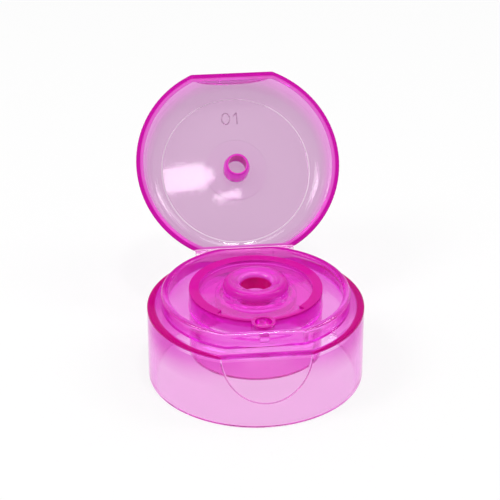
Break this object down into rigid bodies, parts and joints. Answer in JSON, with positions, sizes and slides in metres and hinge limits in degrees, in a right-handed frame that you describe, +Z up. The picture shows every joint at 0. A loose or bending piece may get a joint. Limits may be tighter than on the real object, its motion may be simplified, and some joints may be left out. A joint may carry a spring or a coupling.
{
  "type": "flip top cap",
  "caption": "Round translucent flip top bottle cap: screw skirt, raised ring, central nozzle with orifice, and a domed lid with closing plug on a living hinge.",
  "frame": {"origin": "on the cap's axis at the mouth of the inner neck, 6 mm above the skirt's bottom edge", "axes": "+Z up along the axis towards the nozzle, -Y to the front with the thumb scoop, +Y to the hinge; stored with the lid open as in the picture"},
  "size_m": [0.043, 0.0724, 0.0451],
  "materials": {
    "translucent_pp": "glossy, translucent magenta polypropylene",
    "translucent_pp_film": "glossy, thin and almost clear"
  },
  "bodies": {
    "base": {"base": "translucent_pp", "hinge_film": "translucent_pp_film"},
    "lid": {"lid": "translucent_pp"}
  },
  "joints": [
    {"name": "lid_hinge", "type": "hinge", "parent": "base", "child": "lid", "pos_m": [0, 0.02008, 0.0095], "axis": [-1, 0, 0], "range_deg": [-131.35, 48.65], "deforming": ["hinge_film"]}
  ]
}
